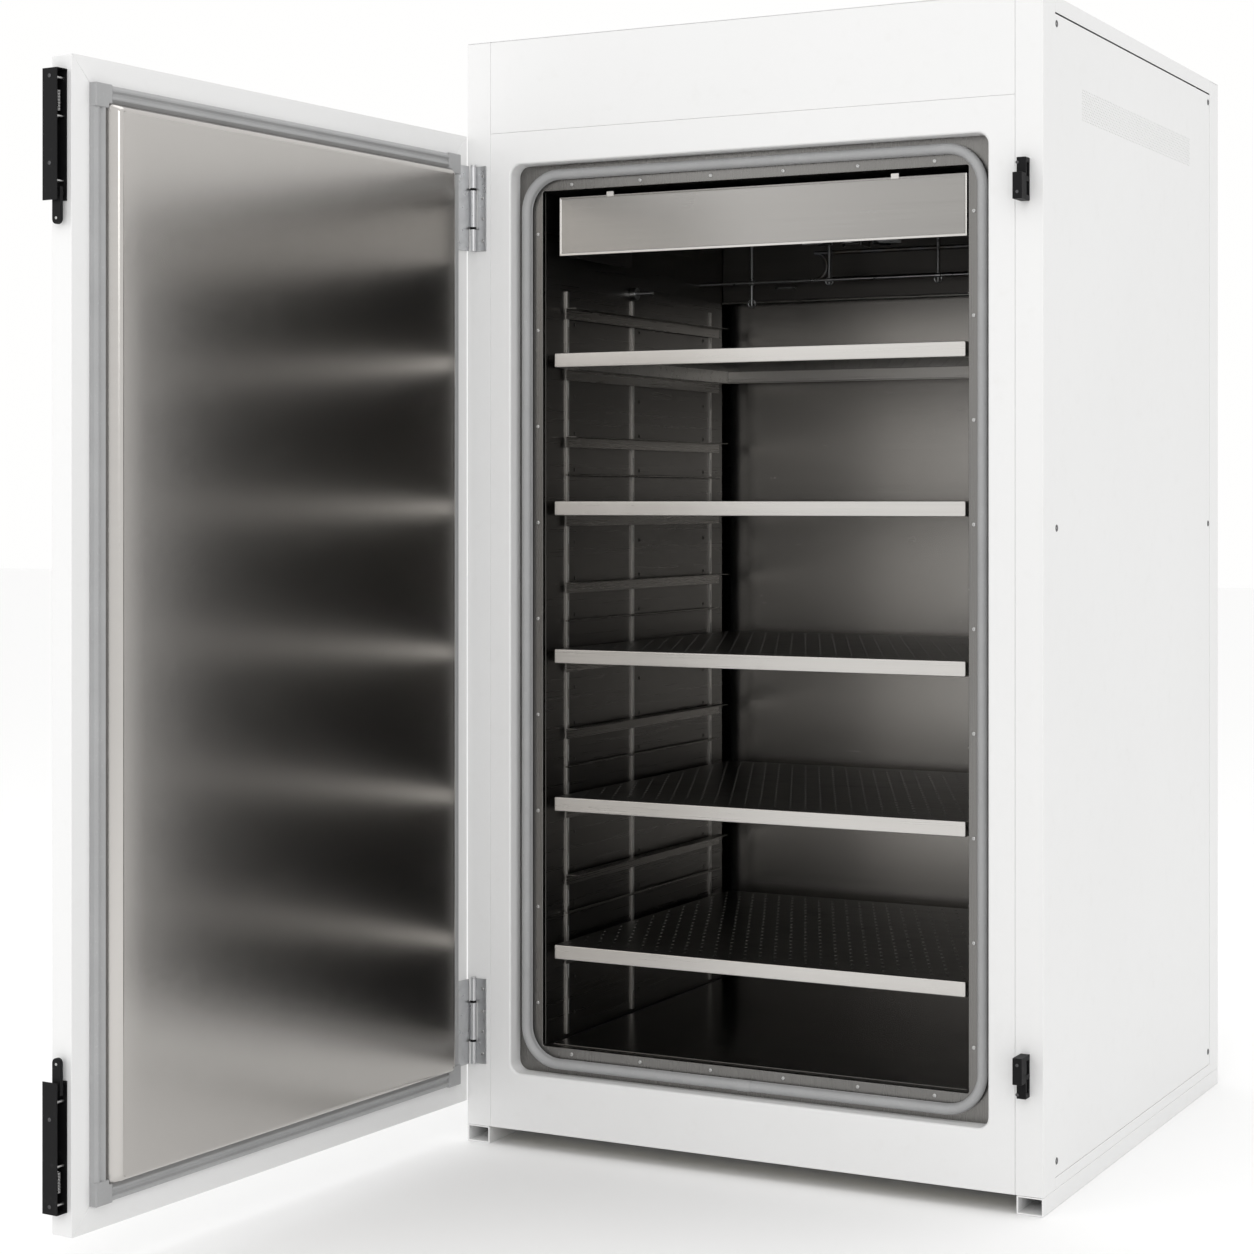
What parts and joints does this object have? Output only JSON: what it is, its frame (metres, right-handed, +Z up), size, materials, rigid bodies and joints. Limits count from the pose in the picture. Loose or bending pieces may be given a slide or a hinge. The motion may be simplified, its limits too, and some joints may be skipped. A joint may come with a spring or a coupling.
{
  "type": "hot-air kiln cabinet",
  "caption": "Tall insulated hot-air cabinet on base runners, with a hinged door standing open, lever latches, perforated slide-in shelves on side rails, and an air hood, heater and fan on top.",
  "frame": {"origin": "on the floor, under the middle of the whole object's box with the door open as it stands at rest", "axes": "+X to the cabinet's right seen from the front, +Y from the front face to the back, +Z up"},
  "size_m": [1.186, 2.1534, 2],
  "materials": {
    "white_paint": "fine-textured white powder coat",
    "stainless": "brushed stainless sheet with a long straight grain",
    "zinc": "bright zinc-plated steel",
    "seal_grey": "matt grey silicone rubber",
    "black_plastic": "black moulded plastic, satin",
    "heater_steel": "heat-darkened steel",
    "mineral_wool": "pressed mineral wool",
    "motor_grey": "grey enamel",
    "controller_grey": "grey moulded case"
  },
  "bodies": {
    "cabinet": {"air_hood": "stainless", "back_panel": "white_paint", "base_pan": "white_paint", "base_runner_left": "white_paint", "base_runner_right": "white_paint", "chamber_gasket": "seal_grey", "chamber_tank": "stainless", "corner_post_front_left": "white_paint", "corner_post_front_right": "white_paint", "corner_post_rear_left": "white_paint", "corner_post_rear_right": "white_paint", "fan_cover": "heater_steel", "fan_motor": "motor_grey", "fascia_panel": "white_paint", "front_panel": "white_paint", "heater_element": "heater_steel", "heater_support": "heater_steel", "hinge_leaf_cabinet_1": "zinc", "hinge_leaf_cabinet_2": "zinc", "hinge_pin_1": "zinc", "hinge_pin_2": "zinc", "insulation_wrap": "mineral_wool", "latch_keeper_lower": "black_plastic", "latch_keeper_upper": "black_plastic", "machine_deck": "zinc", "power_module": "controller_grey", "rear_baffle": "stainless", "roof_panel": "white_paint", "seal_flange": "stainless", "shelf_rail_1_left": "stainless", "shelf_rail_1_right": "stainless", "shelf_rail_2_left": "stainless", "shelf_rail_2_right": "stainless", "shelf_rail_3_left": "stainless", "shelf_rail_3_right": "stainless", "shelf_rail_4_left": "stainless", "shelf_rail_4_right": "stainless", "shelf_rail_5_left": "stainless", "shelf_rail_5_right": "stainless", "side_duct_left": "stainless", "side_duct_right": "stainless", "side_panel_left": "white_paint", "side_panel_right": "white_paint", "temperature_probe": "zinc"},
    "door": {"door_gasket": "seal_grey", "door_insulation": "mineral_wool", "door_pan": "stainless", "door_shell": "white_paint", "hinge_leaf_door_1": "zinc", "hinge_leaf_door_2": "zinc", "latch_housing_lower": "black_plastic", "latch_housing_upper": "black_plastic"},
    "lever_upper": {"latch_lever_upper": "black_plastic"},
    "lever_lower": {"latch_lever_lower": "black_plastic"},
    "fan": {"fan_impeller": "zinc"},
    "shelf_1": {"shelf_1": "stainless"},
    "shelf_2": {"shelf_2": "stainless"},
    "shelf_3": {"shelf_3": "stainless"},
    "shelf_4": {"shelf_4": "stainless"},
    "shelf_5": {"shelf_5": "stainless"}
  },
  "joints": [
    {"name": "door_swing", "type": "hinge", "parent": "cabinet", "child": "door", "pos_m": [-0.48298, -0.02329, 0.959], "axis": [0, 0, 1], "range_deg": [-41.5, 93.5]},
    {"name": "upper_latch", "type": "hinge", "parent": "door", "child": "lever_upper", "pos_m": [-0.57075, -1.06518, 1.621], "axis": [0.061, 0.9981, 0], "range_deg": [0, 72]},
    {"name": "lower_latch", "type": "hinge", "parent": "door", "child": "lever_lower", "pos_m": [-0.57075, -1.06518, 0.299], "axis": [-0.061, -0.9981, 0], "range_deg": [0, 72]},
    {"name": "fan_spin", "type": "hinge", "parent": "cabinet", "child": "fan", "pos_m": [0.04452, 0.48371, 1.7265], "axis": [0, 0, 1], "continuous": true},
    {"name": "shelf_1_slide", "type": "slide", "parent": "cabinet", "child": "shelf_1", "axis": [0, 1, 0], "range_m": [-0.4, 0]},
    {"name": "shelf_2_slide", "type": "slide", "parent": "cabinet", "child": "shelf_2", "axis": [0, 1, 0], "range_m": [-0.4, 0]},
    {"name": "shelf_3_slide", "type": "slide", "parent": "cabinet", "child": "shelf_3", "axis": [0, 1, 0], "range_m": [-0.4, 0]},
    {"name": "shelf_4_slide", "type": "slide", "parent": "cabinet", "child": "shelf_4", "axis": [0, 1, 0], "range_m": [-0.4, 0]},
    {"name": "shelf_5_slide", "type": "slide", "parent": "cabinet", "child": "shelf_5", "axis": [0, 1, 0], "range_m": [-0.4, 0]}
  ]
}
